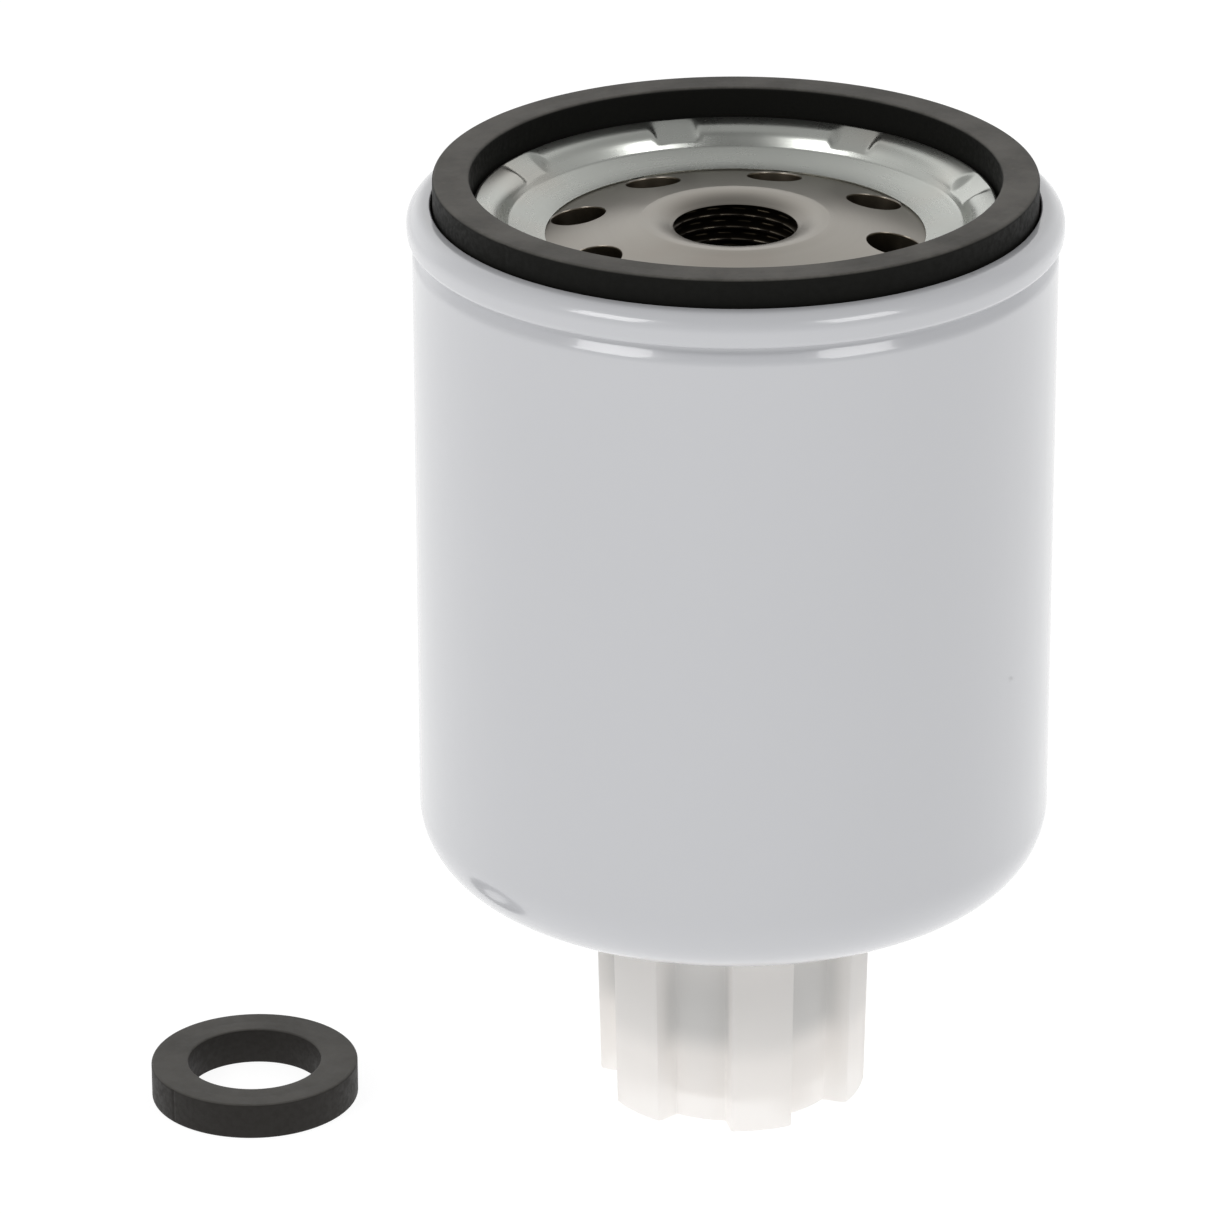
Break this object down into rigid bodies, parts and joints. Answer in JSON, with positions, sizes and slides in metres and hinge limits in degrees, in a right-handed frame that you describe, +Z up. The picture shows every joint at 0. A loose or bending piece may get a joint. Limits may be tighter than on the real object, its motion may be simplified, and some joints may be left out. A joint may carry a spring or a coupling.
{
  "type": "spin-on filter",
  "caption": "Spin-on fuel filter and water separator: seamed steel can, square rubber gasket, threaded plate with inlet holes and a ribbed plastic drain knob, with a loose seal ring.",
  "frame": {"origin": "on the filter's axis, in the plane that the drain knob and the loose seal ring stand on", "axes": "+Z up along the filter's axis to the gasket face; the loose seal ring lies towards -X; -Y faces the viewer"},
  "size_m": [0.1078, 0.076, 0.1153],
  "materials": {
    "white_paint": "gloss",
    "zinc_steel": "bright zinc plate",
    "plate_steel": "oiled mill finish",
    "gasket_rubber": "matte with bloom",
    "cap_steel": "satin tinplate",
    "potting": "satin",
    "filter_paper": "matte",
    "spring_steel": "satin",
    "boss_steel": "dark phosphate",
    "sealant": "matte",
    "knob_plastic": "translucent natural"
  },
  "bodies": {
    "filter_body": {"can": "white_paint", "seaming_lid": "zinc_steel", "seam_sealant": "sealant", "thread_plate": "plate_steel", "outer_gasket": "gasket_rubber", "element_spring": "spring_steel", "drain_boss": "boss_steel", "boss_washer": "gasket_rubber", "boss_lock_nut": "cap_steel"},
    "filter_element": {"element_top_seal": "gasket_rubber", "top_end_cap": "cap_steel", "top_potting": "potting", "pleated_media": "filter_paper", "pleat_seam_clip": "cap_steel", "centre_tube": "cap_steel", "bottom_potting": "potting", "bottom_end_cap": "cap_steel", "spring_seat": "cap_steel"},
    "drain_seal": {"drain_o_ring": "gasket_rubber"},
    "drain_screw": {"drain_knob": "knob_plastic"},
    "loose_seal": {"loose_seal_ring": "gasket_rubber"}
  },
  "joints": [
    {"name": "element_float", "type": "slide", "parent": "filter_body", "child": "filter_element", "axis": [0, 0, -1], "range_m": [0, 0.0015], "stiffness_N_per_m": 4000, "springref_m": -0.008, "deforming": ["element_spring"]},
    {"name": "drain_travel", "type": "slide", "parent": "filter_body", "child": "drain_seal", "axis": [0, 0, -1], "range_m": [0, 0.004]},
    {"name": "drain_turn", "type": "hinge", "parent": "drain_seal", "child": "drain_screw", "pos_m": [0, 0, 0.015], "axis": [0, 0, -1], "range_deg": [0, 720]},
    {"name": "loose_seal_lift", "type": "slide", "parent": "filter_body", "child": "loose_seal", "axis": [0, 0, 1], "range_m": [0, 0.03]}
  ],
  "couplings": [
    {"joint": "drain_travel", "follows": "drain_turn", "m_per_rad": 0.00031831}
  ]
}
